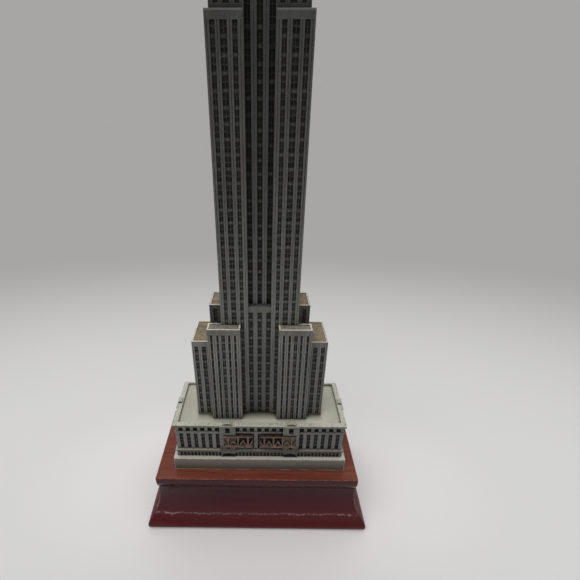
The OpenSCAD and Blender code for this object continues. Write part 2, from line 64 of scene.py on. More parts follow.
SPIGOT = 2.5            # the shaft's box includes the spigot on top of it
FASCIA = 2.2            # the plain band above a block's windows
RECESS = 4.0            # just over half the width of the recess up the tower's middle
RECESS_BACK = 2.8       # from the tower's centre to the back of the recess
shaft_low, shaft_high = span_of("shaft")
TX, TY = middle_of("shaft").x, middle_of("shaft").y
# Heights: the foot of the slab, the deck, and the tops of the blocks and of the tower's steps.
SLAB_FOOT = span_of("podium_slab")[0].z
DECK = span_of("podium_roof")[1].z
LINK = span_of("link_front")[1].z
SHAFT = shaft_high.z - SPIGOT
CROWN1 = span_of("crown_upper")[0].z
CROWN2 = span_of("observation_deck")[0].z
OUTER, WING, UPPER = (span_of(f"{block}_left")[1].z for block in ("outer_wing", "front_wing", "upper_block"))
# Distances from the tower's centre: forwards to two faces, and sideways to about the middle of two blocks.
LINK_FACE = TY - face_of("link_front", "y", -1)
OUTER_FACE = TY - face_of("outer_wing_left", "y", -1)
OUTER_MIDDLE = 20.8
PAVILION = TX - middle_of("pavilion_front_left").x


# ---------- camera, light and floor ----------

def make_camera():
    """The photograph's viewpoint: a wide lens near the model, looking down at it."""
    data = bpy.data.cameras.new("camera")
    camera = bpy.data.objects.new("camera", data)
    scene.collection.objects.link(camera)
    scene.camera = camera
    data.sensor_width = 36
    data.lens = 21.79
    data.shift_x = 0.0507
    data.clip_start = 0.001
    data.clip_end = 20
    pan, down, roll = math.radians(0.56), math.radians(26.68), math.radians(0.1)
    turn = (Matrix.Rotation(pan, 4, "Z")
            @ Matrix.Rotation(math.radians(90) - down, 4, "X")
            @ Matrix.Rotation(roll, 4, "Z"))
    place = Matrix.Translation((0.00232, -0.10843, 0.15453))
    camera.matrix_world = place @ turn


def make_world():
    """Soft light from above and from the bright wall behind. The camera sees a plain grey wall."""
    ambient = 0.13
    overhead = ("Z", 0.0, 0.9, 0.80)        # axis, where it starts and ends along it, and its strength
    wall = ("Y", -0.25, 1.0, 0.42)
    world = bpy.data.worlds.new("studio")
    scene.world = world
    world.use_nodes = True
    tree = world.node_tree
    tree.nodes.clear()
    link = tree.links.new
    coord = tree.nodes.new("ShaderNodeTexCoord")
    split = tree.nodes.new("ShaderNodeSeparateXYZ")
    link(coord.outputs["Generated"], split.inputs[0])
    total = None
    for axis, low, high, gain in (overhead, wall):
        ramp = tree.nodes.new("ShaderNodeMapRange")
        ramp.interpolation_type = "SMOOTHSTEP"
        ramp.inputs["From Min"].default_value = low
        ramp.inputs["From Max"].default_value = high
        ramp.inputs["To Max"].default_value = gain
        link(split.outputs[axis], ramp.inputs["Value"])
        add = tree.nodes.new("ShaderNodeMath")
        add.inputs[0].default_value = ambient
        if total:
            link(total, add.inputs[0])
        link(ramp.outputs["Result"], add.inputs[1])
        total = add.outputs[0]
    lit = tree.nodes.new("ShaderNodeBackground")
    seen = tree.nodes.new("ShaderNodeBackground")
    seen.inputs["Color"].default_value = (0.385, 0.38, 0.372, 1)
    path = tree.nodes.new("ShaderNodeLightPath")
    mix = tree.nodes.new("ShaderNodeMixShader")
    out = tree.nodes.new("ShaderNodeOutputWorld")
    link(total, lit.inputs["Strength"])
    link(path.outputs["Is Camera Ray"], mix.inputs["Fac"])
    link(lit.outputs[0], mix.inputs[1])
    link(seen.outputs[0], mix.inputs[2])
    link(mix.outputs[0], out.inputs["Surface"])


def make_sun():
    """A weak key light, so wide that its shadows have no edges."""
    data = bpy.data.lights.new("key", "SUN")
    data.energy = 0.7
    data.angle = math.radians(50)
    data.color = (1.0, 0.98, 0.95)
    sun = bpy.data.objects.new("key", data)
    scene.collection.objects.link(sun)
    sideways, forwards = math.radians(-20), math.radians(18)
    sun.matrix_world = Matrix.Rotation(sideways, 4, "Y") @ Matrix.Rotation(forwards, 4, "X")


def make_floor():
    """A wide plain floor, which isn't part of the object."""
    bpy.ops.mesh.primitive_plane_add(size=12)
    floor = bpy.context.object
    floor.name = "floor"
    floor.data.materials.append(M["floor"])


# ---------- node helpers ----------

class Mat:
    """A material under construction: short names for the nodes used here."""

    def __init__(self, name):
        self.material = bpy.data.materials.new(name)
        self.material.use_nodes = True
        self.tree = self.material.node_tree
        self.bsdf = self.tree.nodes["Principled BSDF"]
        self.place = self.tree.nodes.new("ShaderNodeTexCoord").outputs["Object"]

    def new(self, kind, **values):
        node = self.tree.nodes.new(kind)
        for key, value in values.items():
            setattr(node, key, value)
        return node

    def put(self, socket, value):
        """Links the socket where value is another node's output, and sets it where it isn't."""
        if hasattr(value, "is_output"):
            self.tree.links.new(value, socket)
        else:
            socket.default_value = value

    def set(self, **values):
        """Sets or links sockets of the shader: an underscore stands for a space in their names."""
        for key, value in values.items():
            self.put(self.bsdf.inputs[key.replace("_", " ")], value)

    def math(self, operation, a, b=0.0):
        node = self.new("ShaderNodeMath", operation=operation)
        self.put(node.inputs[0], a)
        self.put(node.inputs[1], b)
        return node.outputs[0]

    def product(self, a, b):
        return self.math("MULTIPLY", a, b)

    def axis(self, letter):
        """A coordinate in the CAD frame, in metres."""
        node = self.new("ShaderNodeSeparateXYZ")
        self.put(node.inputs[0], self.place)
        return node.outputs[letter]

    def height(self):
        return self.axis("Z")

    def away(self, value, centre=0.0):
        """How far a length is from centre, which is in mm."""
        return self.math("ABSOLUTE", self.math("SUBTRACT", value, centre * MM))

    def up(self):
        """How far the surface faces upwards: 1 where it is level."""
        geometry = self.new("ShaderNodeNewGeometry")
        node = self.new("ShaderNodeSeparateXYZ")
        self.put(node.inputs[0], geometry.outputs["Normal"])
        return node.outputs["Z"]

    def span(self, value, low, high, to_low=0.0, to_high=1.0, smooth=True):
        """A ramp from to_low, where value is low, to to_high, where it is high."""
        node = self.new("ShaderNodeMapRange")
        node.interpolation_type = "SMOOTHSTEP" if smooth else "LINEAR"
        self.put(node.inputs["Value"], value)
        node.inputs["From Min"].default_value = low
        node.inputs["From Max"].default_value = high
        node.inputs["To Min"].default_value = to_low
        node.inputs["To Max"].default_value = to_high
        return node.outputs["Result"]

    def ramp(self, value, low, high, *to, **options):
        """A span over a length, with low and high in mm."""
        return self.span(value, low * MM, high * MM, *to, **options)

    def mix(self, fac, a, b, blend="MIX"):
        node = self.new("ShaderNodeMix", data_type="RGBA", blend_type=blend)
        self.put(node.inputs["Factor"], fac)
        self.put(node.inputs["A"], (*a, 1) if isinstance(a, tuple) else a)
        self.put(node.inputs["B"], (*b, 1) if isinstance(b, tuple) else b)
        return node.outputs["Result"]

    def times(self, color, factor):
        """A colour multiplied by a grey or by another colour."""
        return self.mix(1.0, color, factor, "MULTIPLY")

    def noise(self, size, detail=3.0, rough=0.55, stretch=(1, 1, 1), warp=0.0):
        """Noise whose largest lumps are about size mm across."""
        scale = 1.0 / (size * MM)
        mapping = self.new("ShaderNodeMapping")
        mapping.inputs["Scale"].default_value = [scale * s for s in stretch]
        self.put(mapping.inputs["Vector"], self.place)
        node = self.new("ShaderNodeTexNoise")
        node.inputs["Scale"].default_value = 1.0
        node.inputs["Detail"].default_value = detail
        node.inputs["Roughness"].default_value = rough
        node.inputs["Distortion"].default_value = warp
        self.put(node.inputs["Vector"], mapping.outputs[0])
        return node.outputs["Fac"]

    def occlusion(self, reach):
        """0 deep in a corner, 1 where nothing is nearer than reach, in mm."""
        node = self.new("ShaderNodeAmbientOcclusion", samples=8)
        node.inputs["Distance"].default_value = reach * MM
        return node.outputs["AO"]

    def bump(self, height, depth, strength=1.0):
        """Relief that is depth mm deep."""
        node = self.new("ShaderNodeBump")
        node.inputs["Strength"].default_value = strength
        node.inputs["Distance"].default_value = depth * MM
        self.put(node.inputs["Height"], height)
        self.put(self.bsdf.inputs["Normal"], node.outputs[0])


# ---------- the casting's paint ----------

LIFT = (0.55, 0.95)                 # how level a face is where the pale top, dry-brushed paint and painted light from above, starts and is full
# Colours of the dark washes, which also serve as painted shade in the creases and corners.
WASH_SHADE = (0.010, 0.010, 0.010)
PALE_WASH_SHADE = (0.05, 0.045, 0.035)


def tinted(color, tint):
    """A colour multiplied by another, as plain numbers."""
    return tuple(c * t for c, t in zip(color, tint))


def height_shade(m, color):
    """Painted shade: the paint is lightest at the setbacks and darkens up the tower, where shade falls on its
    upper part.
    """
    z = m.height()
    setbacks = m.ramp(z, 70, 88, 1.0, 1.24)
    middle = m.ramp(z, 85, 125, 1.0, 0.60, smooth=False)
    high = m.ramp(z, 125, 172, 1.0, 0.60, smooth=False)
    return m.times(color, m.product(setbacks, m.product(middle, high)))


def dusty_foot(m, color, dust):
    """The slab is dusty where it meets the wood, darker just above that, and lighter towards its top."""
    z = m.height()
    start, end, high = SLAB_FOOT + 0.1, SLAB_FOOT + 0.3, SLAB_FOOT + 5.4
    dusty = m.product(m.ramp(z, start, end, 0.8, 0.0), m.span(m.noise(4, 3), 0.35, 0.55, 0.3, 1.0))
    return m.times(m.mix(dusty, color, dust), m.ramp(z, end, high, 0.72, 1.2))


def beside_recess(m):
    """0 in the recess up the middle of the tower, 1 beside it."""
    return m.ramp(m.away(m.axis("X"), TX), RECESS, RECESS + 0.2)


# The steps below are extras of resin(): each takes a material and its colour, and gives the new colour.

def recess_shade(m, color):
    """Painted shade: the paint in the recess is cooler and darker, as the recess lies in shade."""
    return m.mix(beside_recess(m), m.times(color, (0.77, 0.79, 0.86)), color)


def brown_foot(m, color):
    """The pavilions are dark and brown below the frieze."""
    darkest_to, unchanged_from = 37.4, 38.5
    unchanged = m.ramp(m.height(), darkest_to, unchanged_from)
    return m.times(color, m.mix(unchanged, (0.50, 0.43, 0.38), (1.0, 1.0, 1.0)))


def side_light(left, right):
    """Painted light: brightness that changes from left to right over the middle of the model, as the light
    falls more on one side.
    """
    def paint(m, color):
        return m.times(color, m.ramp(m.axis("X"), -10, 10, left, right))
    return paint


def foot_wash_and_shade(shade, foot=DECK, reach=1.6, in_recess=True):
    """Darker paint just above foot: partly washes that ran down and dried there, partly painted shade where
    the block meets what it stands on.
    """
    def paint(m, color):
        foot_dark = m.ramp(m.height(), foot, foot + reach, shade, 1.0)
        return m.mix(1.0 if in_recess else beside_recess(m), color, foot_dark, "MULTIPLY")
    return paint


def brow(z):
    """A darker band from the height z up, apart from its dry-brushed top."""
    def paint(m, color):
        shaded = m.times(color, m.ramp(m.height(), z - 0.2, z, 1.0, 0.74))
        return m.mix(m.span(m.up(), *LIFT), shaded, color)
    return paint


def rim(z, in_recess=True):
    """A pale line along the edge at the height z."""
    def paint(m, color):
        line = m.ramp(m.height(), z - 0.5, z - 0.3, 0.0, 0.5)
        if not in_recess:
            line = m.product(line, beside_recess(m))
        return m.mix(line, color, (0.60, 0.61, 0.55))
    return paint


def deck_light_and_shade(m, color):
    """Painted light on the deck: lighter in the middle and duller at its two ends. It is also darker in front
    of the recess's foot and beside the outer wings, partly dark washes and partly painted shade.
    """
    color = m.times(color, m.ramp(m.away(m.axis("X")), 18, 34, 1.25, 0.85))
    across, along = m.away(m.axis("X"), TX), m.away(m.axis("Y"), TY)
    recess = m.ramp(along, LINK_FACE + 0.4, LINK_FACE + 4.6, 0.13, 1.0, smooth=False)
    recess = m.math("MAXIMUM", recess, m.ramp(across, 7.2, 7.6))
    wing = m.ramp(along, OUTER_FACE + 0.2, OUTER_FACE + 3.5, 0.55, 1.0, smooth=False)
    wing = m.math("MAXIMUM", wing, m.ramp(m.away(across, OUTER_MIDDLE), 3.0, 3.9))
    return m.times(color, m.product(recess, wing))


def resin(name, paint, top, wash_shade=WASH_SHADE, patch=9, streak=0.14, lift=LIFT, even=0.72, brush=1.8, wash_shade_strength=1.0,
          crease=1.3, wash_shade_range=(0.3, 0.82), broad=0.55, dusty=False, wear=0.0, extras=()):
    """Painted cold-cast resin: mottled paint, dark washes with painted shade in the recesses, pale upper
    faces.

    paint is the two colours of the mottling, in patches of patch mm, with upright streaks of strength streak.
    top is the pale colour on the faces that are as level as lift says, in strokes of brush mm, at least as
    strongly as even: partly dry-brushed paint, partly painted light from above. wear is how much of it shows
    on every face.
    wash_shade is the colour of the washes and of the painted shade, at the strength wash_shade_strength: it
    fills creases within crease mm, where the occlusion is in the range wash_shade_range, and broad is its
    strength in the wide corners.
    """
    m = Mat(name)
    body = m.mix(m.span(m.noise(patch, 3), 0.45, 0.68), *paint)
    streaks = m.noise(2.2, 4, 0.6, stretch=(1.4, 1.4, 0.12))
    body = m.times(body, m.span(streaks, 0.3, 0.7, 1 - streak, 1 + streak))
    body = m.times(body, m.span(m.noise(0.5, 2), 0.3, 0.75, 0.85, 1.14))
    # Pale top on the level faces: dry-brushed paint, and painted light from above.
    strokes = m.span(m.noise(brush, 5, 0.65), 0.28, 0.55, even, 1.0)
    body = m.mix(m.product(m.span(m.up(), *lift), strokes), body, top)
    # Darker in creases and corners: the washes, and painted shade where the occlusion finds them.
    near = m.span(m.occlusion(crease), *wash_shade_range, 1.0, 0.0)
    wide = m.span(m.occlusion(6.0), 0.15, 0.7, broad, 0.0)
    body = m.mix(m.product(m.math("MAXIMUM", near, wide), wash_shade_strength), body, wash_shade)
    if dusty:
        body = dusty_foot(m, body, top)
    if wear:
        body = m.mix(m.span(m.noise(1.1, 4, 0.7), 0.38, 0.6, 0.1, wear), body, top)
    for extra in extras:
        body = extra(m, body)
    m.set(Base_Color=height_shade(m, body), Roughness=m.span(m.noise(1.2, 2), 0.3, 0.7, 0.42, 0.62))
    m.set(Specular_IOR_Level=0.35)
    m.bump(m.noise(0.35, 3), 0.03, 0.6)
    return m.material


def window_paint(name, dark, light, size=1.6, gloss=0.3):
    """The recessed parts of a window column: panes, bars and spandrels, unevenly washed."""
    m = Mat(name)
    color = m.mix(m.span(m.noise(size, 3), 0.3, 0.7), dark, light)
    m.set(Base_Color=height_shade(m, color), Specular_IOR_Level=gloss)
    m.set(Roughness=m.span(m.noise(1.0, 2), 0.3, 0.7, 0.4, 0.65))
    m.bump(m.noise(0.4, 3), 0.03, 0.6)
    return m.material


# ---------- the other materials ----------

def mahogany(name):
    """Glossy red-brown varnish, rubbed through in a wandering line along the seam above the foot."""
    seam_z, cove_z, joint_z, lip_z = 6.1, 12.8, 20.2, 24.3
    m = Mat(name)
    z, up = m.height(), m.up()

    grain = m.noise(1.2, 5, 0.65, stretch=(0.05, 1.0, 1.0), warp=0.4)
    broad = m.noise(16, 2, 0.5, stretch=(0.4, 1.0, 1.0))
    wood = m.mix(m.span(grain, 0.25, 0.8), (0.047, 0.0080, 0.0140), (0.063, 0.0108, 0.0175))
    wood = m.mix(m.span(broad, 0.35, 0.7, 0.0, 0.5), wood, (0.072, 0.015, 0.018))
    foot = m.ramp(z, 9, 4.5, 0.0, 0.9)
    wood = m.mix(foot, wood, (0.092, 0.0145, 0.0165))
    # Painted reflection: the board's level top is lighter, standing in for the sheen of its varnish.
    sheen_wood = m.mix(m.span(grain, 0.3, 0.7), (0.165, 0.038, 0.024), (0.255, 0.076, 0.046))
    board_top_sheen = m.product(m.span(up, 0.75, 0.97, 0.0, 0.85), m.ramp(z, 20, 23.5))
    wood = m.mix(board_top_sheen, wood, sheen_wood)
    pores = m.span(m.noise(0.22, 1, 0.5, stretch=(0.08, 1, 1)), 0.62, 0.7, 0.0, 0.25)
    wood = m.mix(pores, wood, (0.03, 0.006, 0.005))

    wander = m.span(m.noise(2.4, 5, 0.75, stretch=(0.7, 0.7, 0.7)), 0.25, 0.75, -0.7 * MM, 0.7 * MM,
                    smooth=False)
    seam = m.ramp(m.away(m.math("ADD", z, wander), seam_z), 0.06, 0.3, 0.7, 0.0)
    seam = m.product(seam, m.span(m.noise(1.2, 4, 0.7), 0.42, 0.6, 0.05, 1.0))
    seam = m.product(seam, m.ramp(m.away(m.axis("X")), 5, 35, 0.4, 1.0))
    wood = m.mix(seam, wood, (0.40, 0.24, 0.24))

    # Painted shade: a dark band just under the board's rounded top edge.
    lip_shade = m.ramp(m.away(z, lip_z), 0.1, 0.5, 0.7, 0.0)
    wood = m.mix(lip_shade, wood, (0.026, 0.004, 0.005))
    # Painted light: the shaded underside of the board, above the cove, is painted lighter and greyer.
    joint_light = m.ramp(m.away(z, joint_z), 0.6, 1.3, 0.7, 0.0)
    wood = m.mix(joint_light, wood, (0.080, 0.032, 0.038))
    # Painted shade: the cove is lighter at its foot and darker up under the board.
    in_cove = m.ramp(m.away(z, cove_z), 6.2, 6.6, 1.0, 0.0)
    cove_shade = m.ramp(z, 7.5, 18.5, 1.25, 0.68, smooth=False)
    wood = m.mix(in_cove, wood, m.times(wood, cove_shade))

    edge = m.product(m.ramp(z, 24.62, 24.85, 0.0, 0.8), m.span(up, 0.95, 0.8, 0.0, 1.0))
    chips = m.span(m.noise(1.6, 3, 0.6), 0.4, 0.62, 0.35, 1.0)
    wood = m.mix(m.product(edge, chips), wood, (0.42, 0.12, 0.07))

    rough = m.math("ADD", m.span(m.noise(3.0, 3), 0.3, 0.7, 0.24, 0.36), m.product(seam, 0.3))
    m.set(Base_Color=wood, Roughness=rough, Specular_IOR_Level=0.10, Coat_Weight=0.13, Coat_Roughness=0.1)
    m.bump(m.noise(0.9, 4, 0.6, stretch=(0.06, 1, 1)), 0.004, 0.3)
    return m.material


def bronze(name, wear=0.0):
    """Bronze-coloured paint, brown in its creases and worn light on its edges."""
    m = Mat(name)
    metal = m.mix(m.span(m.noise(1.0, 3), 0.38, 0.62), (0.088, 0.056, 0.045), (0.208, 0.150, 0.118))
    metal = m.mix(m.span(m.up(), 0.4, 0.9), metal, (0.06, 0.025, 0.02))
    metal = m.mix(m.span(m.occlusion(0.7), 0.35, 0.9), (0.03, 0.010, 0.008), metal)
    if wear:
        metal = m.mix(m.span(m.noise(0.8, 3), 0.4, 0.6, 0.1, wear), metal, (0.40, 0.32, 0.25))
    m.set(Base_Color=metal, Roughness=m.span(m.noise(0.7, 2), 0.3, 0.7, 0.35, 0.55), Metallic=0.3)
    m.bump(m.noise(0.3, 3), 0.04, 0.8)
    return m.material


def roof_paint(name):
    """Blotchy tan paint on the roofs' panels."""
    m = Mat(name)
    paint = m.mix(m.span(m.noise(2.2, 4), 0.35, 0.65), (0.19, 0.138, 0.082), (0.35, 0.272, 0.175))
    paint = m.mix(m.span(m.noise(0.45, 3, 0.7), 0.35, 0.65, 0.35, 0.0), paint, (0.12, 0.08, 0.045))
    paint = m.mix(m.span(m.occlusion(0.9), 0.3, 0.85), (0.09, 0.068, 0.045), paint)
    m.set(Base_Color=paint, Roughness=m.span(m.noise(1, 2), 0.3, 0.7, 0.5, 0.7))
    m.bump(m.noise(0.5, 3), 0.04, 0.8)
    return m.material


def steel(name):
    """Lightly brushed steel, for the screws, the washers and the needle."""
    m = Mat(name)
    metal = m.mix(m.span(m.noise(2, 3), 0.3, 0.7), (0.42, 0.42, 0.43), (0.6, 0.6, 0.6))
    m.set(Base_Color=metal, Metallic=1.0)
    m.set(Roughness=m.span(m.noise(0.8, 3), 0.3, 0.7, 0.25, 0.42))
    m.bump(m.noise(0.2, 2, stretch=(1, 1, 6)), 0.01, 0.4)
    return m.material


def felt(name):
    """Dark green felt under the foot."""
    m = Mat(name)
    fibres = m.mix(m.noise(0.6, 5, 0.7), (0.012, 0.025, 0.018), (0.045, 0.075, 0.055))
    m.set(Base_Color=fibres, Roughness=0.95, Sheen_Weight=0.4, Sheen_Roughness=0.5)
    m.bump(m.noise(0.25, 4, 0.7), 0.12, 0.9)
    return m.material


def floor_paint(name):
    """Pale studio floor with painted light: brightest just round the model, falling off all round to the grey
    of the wall.
    """
    m = Mat(name)
    x, y = m.product(m.axis("X"), 0.55), m.axis("Y")
    reach = m.math("SQRT", m.math("ADD", m.product(x, x), m.product(y, y)))
    near = m.mix(m.noise(60, 3), (0.745, 0.755, 0.755), (0.775, 0.765, 0.76))
    # Painted light: brighter just round the model, where its own shade would darken the floor.
    near = m.mix(m.ramp(reach, 25, 65), (0.885, 0.865, 0.86), near)
    m.set(Base_Color=m.mix(m.ramp(reach, 50, 310), near, (0.438, 0.433, 0.424)))
    m.set(Roughness=0.9, Specular_IOR_Level=0.0)
    m.bump(m.noise(1.2, 3), 0.05, 0.3)
    return m.material


# ---------- the list of materials ----------

# Each paint is the two colours of its mottling, the second one warmer.
GREY = ((0.186, 0.191, 0.177), (0.183, 0.170, 0.150))
COOL = (tinted(GREY[0], (0.99, 0.97, 1.05)), tinted(GREY[1], (0.99, 0.98, 1.06)))
LIGHT = ((0.205, 0.210, 0.195), (0.20, 0.187, 0.166))
# DIM, the link's paint, is darker: painted shade at the back of the recess between the wings.
DIM = ((0.131, 0.135, 0.125), (0.131, 0.127, 0.113))
SHOP = ((0.112, 0.107, 0.096), (0.105, 0.092, 0.076))
SHOP_EDGE = ((0.15, 0.145, 0.13), (0.13, 0.118, 0.10))
BLACK = ((0.052, 0.052, 0.049), (0.054, 0.047, 0.041))
BLACK_EDGE = ((0.06, 0.06, 0.056), (0.06, 0.052, 0.045))
PIER = ((0.168, 0.172, 0.156), (0.165, 0.153, 0.133))
SLAB = ((0.170, 0.153, 0.130), (0.16, 0.145, 0.125))
PALE = ((0.25, 0.25, 0.205), (0.23, 0.21, 0.175))
PALE_EDGE = ((0.30, 0.30, 0.25), (0.27, 0.26, 0.215))
PARAPET = ((0.125, 0.125, 0.103), (0.115, 0.105, 0.085))
GLUE = ((0.22, 0.19, 0.15), (0.16, 0.12, 0.10))
ROOFING = ((0.15, 0.13, 0.11), (0.11, 0.088, 0.07))
TYMPANUM = ((0.125, 0.12, 0.09), (0.11, 0.10, 0.072))
# The pale top colours: dry-brushed paint, and painted light on the level faces.
PLAIN_TOP = (0.34, 0.31, 0.25)
BRIGHT_TOP = (0.95, 0.90, 0.78)

M = {
    "resin": resin("resin", GREY, PLAIN_TOP),
    "shaft": resin("resin_shaft", GREY, (0.34, 0.33, 0.28),
                   extras=(recess_shade, rim(SHAFT, in_recess=False))),
    "shaft_edge": resin("resin_shaft_edge", GREY, BRIGHT_TOP, wear=0.25, extras=(rim(SHAFT),)),
    "crown": resin("resin_crown", GREY, PLAIN_TOP,
                   extras=(recess_shade, foot_wash_and_shade(0.35, foot=SHAFT, reach=2.8, in_recess=False))),
    "crown_edge": resin("resin_crown_edge", GREY, BRIGHT_TOP, wear=0.6),
    "walls": resin("resin_walls", COOL, (0.34, 0.32, 0.27), extras=(side_light(1.03, 0.86),)),
    "walls_edge": resin("resin_walls_edge", COOL, (0.54, 0.51, 0.44), wear=0.45, extras=(side_light(1.03, 0.86),)),
    "wing": resin("resin_wing", GREY, (0.66, 0.62, 0.53), wash_shade_strength=0.9, even=0.05, brush=0.7,
                  extras=(side_light(1.08, 1.0), foot_wash_and_shade(0.8), brow(WING - FASCIA))),
    "outer": resin("resin_outer", LIGHT, (0.56, 0.51, 0.42), wash_shade_strength=0.9, even=0.2, brush=1.0,
                   extras=(side_light(1.2, 0.93), foot_wash_and_shade(0.7), brow(OUTER - FASCIA))),
    "wing_edge": resin("resin_wing_edge", GREY, (0.80, 0.75, 0.64), wear=0.4, even=0.3, brush=1.0,
                       extras=(side_light(1.08, 0.98),)),
    "dim": resin("resin_dim", DIM, (0.11, 0.108, 0.115), extras=(foot_wash_and_shade(0.4),)),
    "dim_edge": resin("resin_dim_edge", DIM, (0.30, 0.29, 0.28), wear=0.4, extras=(foot_wash_and_shade(0.4),)),
    "shop": resin("resin_shop", SHOP, (0.40, 0.38, 0.33), patch=3, extras=(side_light(1.12, 0.82),)),
    "shop_edge": resin("resin_shop_edge", SHOP_EDGE, (0.42, 0.39, 0.34), wear=0.5, patch=3,
                       extras=(side_light(1.12, 0.82),)),
    "upper": resin("resin_upper", BLACK, (0.64, 0.59, 0.50), even=0.25, brush=1.0),
    "upper_edge": resin("resin_upper_edge", BLACK_EDGE, (0.34, 0.31, 0.26), wear=0.45),
    "pier": resin("resin_pier", PIER, (0.50, 0.50, 0.40), lift=(0.3, 0.75), wash_shade_strength=0.8, extras=(brown_foot,)),
    "pier_edge": resin("resin_pier_edge", GREY, (0.62, 0.61, 0.51), wear=0.6, extras=(brown_foot,)),
    "slab": resin("resin_slab", SLAB, (0.53, 0.51, 0.45), PALE_WASH_SHADE, wash_shade_strength=0.22, streak=0.02, even=0.9,
                  broad=0.2, dusty=True),
    "slab_edge": resin("resin_slab_edge", SLAB, (0.55, 0.53, 0.47), PALE_WASH_SHADE, wash_shade_strength=0.2, streak=0.02,
                       wear=0.8, broad=0.2, dusty=True),
    "pale": resin("deck_pale", PALE, (0.53, 0.53, 0.43), (0.11, 0.10, 0.08), streak=0.05, patch=5,
                  even=0.85, broad=0.1, wash_shade_range=(0.35, 0.88), crease=2.8,
                  extras=(side_light(0.93, 1.05), deck_light_and_shade)),
    "parapet": resin("resin_parapet", PARAPET, (0.58, 0.58, 0.48), (0.075, 0.066, 0.047), wash_shade_strength=0.65,
                     streak=0.05, patch=5, even=0.4, broad=0.2, brush=0.8),
    "pale_edge": resin("resin_pale_edge", PALE_EDGE, (0.74, 0.74, 0.65), (0.06, 0.055, 0.04), wear=1.0,
                       wash_shade_strength=0.3, streak=0.05, patch=5),
    "glue": resin("glue", GLUE, (0.33, 0.29, 0.23), (0.05, 0.03, 0.025), wash_shade_strength=0.4, patch=3, even=0.5,
                  wear=0.3),
    "roof_grey": resin("roof_grey", ROOFING, (0.245, 0.227, 0.197), wash_shade_strength=0.5, patch=2, even=0.0, brush=1.3),
    # The tympana's darker paint is painted shade on the arched heads' fields.
    "tympanum": resin("tympanum", TYMPANUM, (0.25, 0.24, 0.19), wash_shade_strength=0.5),
    "pane_dark": window_paint("pane_dark", (0.008, 0.008, 0.007), (0.016, 0.0155, 0.014), gloss=0.26),
    # Near-black inside the pavilions' attic windows: painted shade, darker than the light there leaves them.
    "void": window_paint("window_void", (0.002, 0.002, 0.002), (0.006, 0.006, 0.006), gloss=0.05),
    "pane": window_paint("pane", (0.014, 0.014, 0.0125), (0.036, 0.035, 0.031)),
    "bar": window_paint("window_bar", (0.05, 0.05, 0.044), (0.088, 0.086, 0.076)),
    "panel": window_paint("spandrel", (0.05, 0.05, 0.045), (0.092, 0.09, 0.08)),
    "boss": window_paint("spandrel_boss", (0.065, 0.065, 0.058), (0.155, 0.15, 0.135), 3.0),
    "dot": window_paint("spandrel_dot", (0.05, 0.052, 0.052), (0.13, 0.132, 0.125), 3.0),
    "shade": window_paint("spandrel_dim", (0.026, 0.026, 0.025), (0.05, 0.05, 0.047)),
    "maroon": window_paint("frieze_shadow", (0.022, 0.008, 0.007), (0.045, 0.017, 0.015)),
    "stain": window_paint("frieze_stain", (0.075, 0.052, 0.036), (0.15, 0.11, 0.075)),
    "wood": mahogany("mahogany"),
    "bronze": bronze("bronze"),
    "bronze_edge": bronze("bronze_edge", wear=0.9),
    "tan": roof_paint("roof_tan"),
    "steel": steel("steel"),
    "felt": felt("felt"),
    "floor": floor_paint("floor"),
}


# ---------- CAD nodes: materials, soft cast edges ----------

def dress(names, main, edge=None, width=0.07):
    """Gives nodes a material, and with edge a rounded edge of that material, width mm wide."""
    for name in names:
        node = nodes[name]
        node.data.materials.clear()
        node.data.materials.append(M[main])
        if edge:
            node.data.materials.append(M[edge])
            weld = node.modifiers.new("weld", "WELD")
            weld.merge_threshold = 1e-6
            bevel = node.modifiers.new("bevel", "BEVEL")
            bevel.width = width * MM
            bevel.segments = 2
            bevel.limit_method = "ANGLE"
            bevel.angle_limit = math.radians(35)
            bevel.material = 1
            bevel.harden_normals = True
            bevel.use_clamp_overlap = True


def starting(*starts):
    """The nodes whose names start in one of these ways."""
    return [name for name in nodes if name.startswith(starts)]


def dress_nodes():
    """Every CAD node keeps its shape and gets its materials here."""
    dress(["podium_walls"], "walls", "walls_edge")
    dress(["shaft"], "shaft", "shaft_edge")
    dress(["crown_lower"], "crown", "crown_edge")
    dress(starting("crown_upper", "mast", "observation"), "resin", "crown_edge")
    dress(["shopfront"], "shop", "shop_edge")
    dress(starting("outer_wing"), "outer", "wing_edge")
    dress(starting("front_wing", "rear_wing"), "wing", "wing_edge")
    # The link's darker paint is painted shade.
    dress(starting("link"), "dim", "dim_edge")
    dress(starting("upper_block"), "upper", "upper_edge")
    dress(starting("pavilion"), "pier", "pier_edge", 0.1)
    dress(["podium_slab"], "slab", "slab_edge", 0.35)
    dress(["podium_parapet"], "parapet", "pale_edge", 0.36)
    dress(["podium_roof"], "pale")
    dress(starting("frieze"), "bronze", "bronze_edge", 0.06)
    dress(starting("outer_roof", "upper_roof"), "tan")
    dress(["plinth_foot"], "wood", "wood", 0.9)
    dress(["plinth_cove"], "wood", "wood", 0.08)
    dress(["plinth_top"], "wood", "wood", 0.18)
    dress(["fixing_screws", "screw_washers", "needle"], "steel")
    dress(["felt_pad"], "felt")


# ---------- building pieces ----------

def add_piece(mesh):
    """An object with this mesh and its name, on the only body."""
    piece = bpy.data.objects.new(mesh.name, mesh)
    scene.collection.objects.link(piece)
    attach(piece, "root")
    return piece


